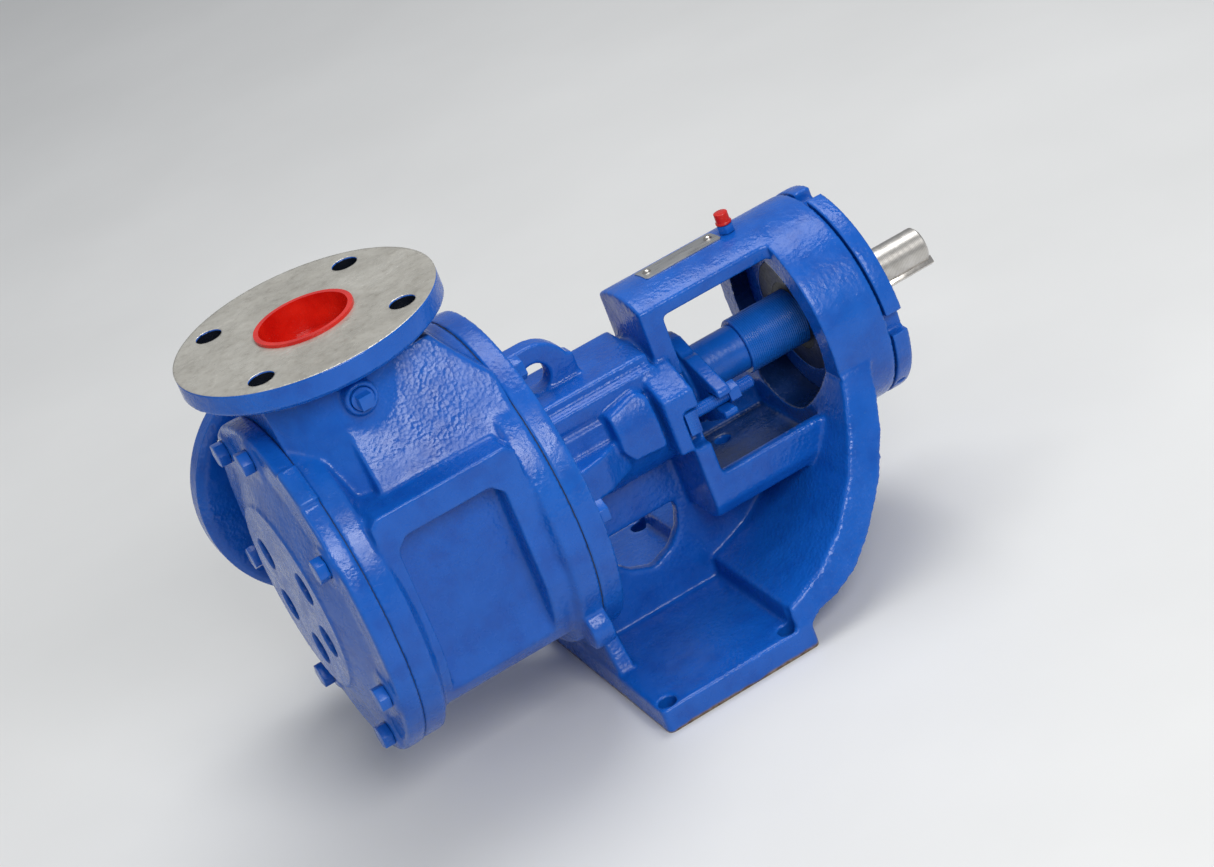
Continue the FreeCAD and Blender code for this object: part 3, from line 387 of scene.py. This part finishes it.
look = {
    "bracket": "foot_cast", "casing": "casing", "head": "cast", "head_gasket": "gasket", "bracket_gasket": "gasket",
    "head_capscrews": "bolt_blue", "bracket_capscrews": "bolt_blue", "rotor": "bare_iron", "idler_gear": "bare_iron",
    "idler_bushing": "bronze", "idler_pin": "hard", "shaft": "shaft", "shaft_key": "steel", "bracket_bushing": "bronze",
    "packing_washer": "steel", "packing_rings": "packing", "lantern_ring": "bronze", "gland": "smooth_blue",
    "gland_studs": "stud", "gland_nuts": "bolt_blue", "bearing_housing": "cast", "housing_set_screws": "steel",
    "end_cap_inner": "recess_shade_blue", "end_cap_outer": "smooth_blue", "lip_seal_inner": "rubber", "lip_seal_outer": "rubber",
    "bearing_outer_race": "hard", "bearing_inner_race": "hard", "bearing_balls": "hard", "bearing_cage": "bronze",
    "bearing_spacer_inner": "stud", "lock_washer": "steel", "lock_nut": "steel", "nameplate": "plate",
    "nameplate_screws": "steel", "grease_fitting": "bolt_blue", "grease_cap": "red", "top_port_plug": "red",
    "side_port_plug": "red", "casing_pipe_plug": "bolt_blue", "box_pipe_plug": "bolt_blue",
}
for n, o in nodes.items():
    assign(o, M[look[n]])


# ---------------------------------------------------- cast skins over the CAD
def cast_skin(node, body, voxel, rounds, planes=(), bores=()):
    """A casting's skin from its own CAD solid: sharp inside and outside corners are rounded
    as a sand casting's are, machined planes and bores stay true."""
    src = nodes[node]
    me = src.data.copy()
    ob = bpy.data.objects.new(node + "_skin", me)
    bpy.context.scene.collection.objects.link(ob)
    bm = bmesh.new()
    bm.from_mesh(me)
    bmesh.ops.remove_doubles(bm, verts=bm.verts, dist=2e-6)
    bm.to_mesh(me)
    bm.free()
    md = ob.modifiers.new("voxel", "REMESH")
    md.mode = "VOXEL"
    md.voxel_size = voxel
    md.adaptivity = 0.0
    dg = bpy.context.evaluated_depsgraph_get()
    new = bpy.data.meshes.new_from_object(ob.evaluated_get(dg))
    ob.modifiers.clear()
    ob.data = new
    bpy.data.meshes.remove(me)
    n = len(new.vertices)
    co = np.zeros(n * 3)
    new.vertices.foreach_get("co", co)
    co = co.reshape(-1, 3)
    ed = np.zeros(len(new.edges) * 2, np.int64)
    new.edges.foreach_get("vertices", ed)
    ed = ed.reshape(-1, 2)
    a = np.concatenate([ed[:, 0], ed[:, 1]])
    b = np.concatenate([ed[:, 1], ed[:, 0]])
    deg = np.maximum(np.bincount(a, minlength=n), 1)
    lo, hi = co.min(0), co.max(0)
    tol = voxel * 0.75

    def snap(c, first):
        for axis, value, box_ in planes:
            near = np.abs(start[:, axis] - value) < tol
            if box_ is not None:
                for k in range(3):
                    near &= (start[:, k] > box_[0][k]) & (start[:, k] < box_[1][k])
            c[near, axis] = value
        for axis, centre, r, span in bores:
            k = [i for i in range(3) if i != axis]
            d = start[:, k] - np.array(centre)
            rad = np.hypot(d[:, 0], d[:, 1])
            near = (np.abs(rad - r) < tol) & (start[:, axis] > span[0]) & (start[:, axis] < span[1])
            dd = c[near][:, k] - np.array(centre)
            rr = np.maximum(np.hypot(dd[:, 0], dd[:, 1]), 1e-9)
            for j, kk in enumerate(k):
                c[near, kk] = centre[j] + dd[:, j] / rr * r

    start = co.copy()
    snap(co, True)
    for _ in range(rounds):
        avg = np.stack([np.bincount(a, co[b, k], n) for k in range(3)], 1) / deg[:, None]
        co = co + 0.5 * (avg - co)
        snap(co, False)
    new.vertices.foreach_set("co", co.reshape(-1).astype(np.float32))
    new.update()
    for p in new.polygons:
        p.use_smooth = True
    assign(ob, M[look[node]])
    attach(ob, body)
    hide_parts(node)
    return ob


def eased(node, body, width, segments=2):
    """The same piece with its sharp edges eased, as on forged or turned hardware."""
    me = nodes[node].data.copy()
    ob = bpy.data.objects.new(node + "_eased", me)
    bpy.context.scene.collection.objects.link(ob)
    bm = bmesh.new()
    bm.from_mesh(me)
    bmesh.ops.remove_doubles(bm, verts=bm.verts, dist=2e-6)
    bmesh.ops.dissolve_limit(bm, angle_limit=math.radians(0.5), verts=bm.verts, edges=bm.edges)
    bm.to_mesh(me)
    bm.free()
    md = ob.modifiers.new("ease", "BEVEL")
    md.width = width
    md.segments = segments
    md.limit_method = "ANGLE"
    md.angle_limit = math.radians(38)
    md.use_clamp_overlap = True
    dg = bpy.context.evaluated_depsgraph_get()
    new = bpy.data.meshes.new_from_object(ob.evaluated_get(dg))
    ob.modifiers.clear()
    ob.data = new
    bpy.data.meshes.remove(me)
    for p in new.polygons:
        p.use_smooth = True
    new.set_sharp_from_angle(angle=math.radians(34))
    assign(ob, M[look[node]])
    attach(ob, body)
    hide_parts(node)
    return ob


X = lambda v: PX + v * MM
Z = lambda v: AZ + v * MM
foot = MOUNT["foot_bolts"]["dims"]
fx, fy = foot["spacing_x_mm"] / 2 * MM, foot["spacing_y_mm"] / 2 * MM
bk_planes = [(2, 0.0, None), (0, X(88.3), None), (0, X(68.0), None), (0, X(365.2), None), (0, X(319.0), None), (0, X(104.5), None)]
bk_bores = [(0, (0.0, AZ), 28.0 * MM, (X(150), X(224))), (0, (0.0, AZ), 62.0 * MM, (X(300), X(366)))]
for sx in (-1, 1):
    for sy in (-1, 1):
        bk_bores.append((2, (sx * fx, sy * fy), 7.0 * MM, (-0.001, 0.03)))
bracket = cast_skin("bracket", "pump", 0.0015, 7, bk_planes, bk_bores)
cs_planes = [(2, Z(180), None), (1, 0.180, None), (0, X(-58), None), (0, X(87.5), None)]
cs_bores = [(0, (0.0, AZ), 86.15 * MM, (X(-60), X(90))), (2, (PX, 0.0), 35.0 * MM, (Z(100), Z(181))), (1, (PX, AZ), 35.0 * MM, (0.1, 0.181)),
            (2, (PX, 0.0), 95.25 * MM, (Z(164), Z(181))), (1, (PX, AZ), 95.25 * MM, (0.164, 0.181))]
for a in (45, 135, 225, 315):
    u, v = 0.0762 * math.cos(math.radians(a)), 0.0762 * math.sin(math.radians(a))
    cs_bores.append((2, (PX + u, v), 9.5 * MM, (Z(158), Z(181))))
    cs_bores.append((1, (PX + u, AZ + v), 9.5 * MM, (0.158, 0.181)))
casing = cast_skin("casing", "pump", 0.0015, 7, cs_planes, cs_bores)
head = cast_skin("head", "pump", 0.0015, 6, [(0, X(-58.8), None), (0, X(-84.2), None)], [])
gland = cast_skin("gland", "gland_group", 0.0009, 5, [(0, X(243.5), None)], [(0, (0.0, AZ), 18.75 * MM, (X(190), X(246)))])
housing = cast_skin("bearing_housing", "housing", 0.0012, 3, [(0, X(380.0), None), (0, X(333.0), None), (0, X(367.5), None)],
                    [(0, (0.0, AZ), 44.0 * MM, (X(330), X(381))), (0, (0.0, AZ), 40.0 * MM, (X(340), X(372))), (0, (0.0, AZ), 61.9 * MM, (X(332), X(366)))])
eased("head_capscrews", "pump", 0.0009)
eased("bracket_capscrews", "pump", 0.0009)
eased("gland_nuts", "gland_group", 0.0007)
eased("casing_pipe_plug", "pump", 0.0008)
eased("box_pipe_plug", "pump", 0.0006)
eased("grease_fitting", "pump", 0.0004)
eased("shaft_key", "shaft_group", 0.0005)
eased("grease_cap", "fitting_cap", 0.0004)

# --------------------------------------------------------- floor, light, camera
floor_me = bpy.data.meshes.new("floor")
s = 9.0
floor_me.from_pydata([(-s, -s, 0), (s, -s, 0), (s, s, 0), (-s, s, 0)], [], [(0, 1, 2, 3)])
floor = bpy.data.objects.new("floor", floor_me)
bpy.context.scene.collection.objects.link(floor)
t = Tree("floor_pale")
n = t.noise(3.0, 4.0, 0.5)
t.link(t.ramp(n, [(0.3, (0.70, 0.70, 0.69)), (0.7, (0.75, 0.75, 0.74))]), t.bsdf.inputs["Base Color"])
t.set(Roughness=0.45)
assign(floor, t.mat)

world = bpy.data.worlds.new("studio")
bpy.context.scene.world = world
world.use_nodes = True
bg = world.node_tree.nodes["Background"]
bg.inputs[0].default_value = (0.92, 0.95, 1.0, 1)
bg.inputs[1].default_value = 0.36


def area(name, loc, target, size, power, colour=(1, 1, 1)):
    d = bpy.data.lights.new(name, "AREA")
    d.shape = "RECTANGLE"
    d.size, d.size_y = size
    d.energy = power
    d.color = colour
    o = bpy.data.objects.new(name, d)
    bpy.context.scene.collection.objects.link(o)
    o.location = loc
    o.rotation_euler = (Vector(target) - Vector(loc)).to_track_quat("-Z", "Y").to_euler()
    return o


area("key", (0.1, -2.3, 1.9), (0, 0, 0.15), (1.5, 1.1), 50, (1.0, 0.99, 0.97))
area("top", (0.55, 0.5, 2.3), (0, 0, 0.15), (1.7, 1.2), 30, (0.98, 0.99, 1.0))
area("left", (-2.2, -0.6, 1.5), (0, 0, 0.15), (1.2, 1.2), 6, (0.97, 0.99, 1.0))

cam_d = bpy.data.cameras.new("camera")
cam = bpy.data.objects.new("camera", cam_d)
bpy.context.scene.collection.objects.link(cam)
cam_d.sensor_width = 36.0
cam_d.lens = 36.0 * 3066.12 / 1214.0
cam_d.clip_start, cam_d.clip_end = 0.05, 60.0
right = Vector((0.83842683, -0.43011853, -0.33472153))
up = Vector((0.47716816, 0.28255503, 0.83214975))
back = Vector((-0.26334578, -0.85741513, 0.44214058))
m = Matrix((right, up, back)).transposed().to_4x4()
m.translation = P(-409.34, -1880.28, 960.90)
cam.matrix_world = m
bpy.context.scene.camera = cam
bpy.context.scene.view_settings.view_transform = "Standard"
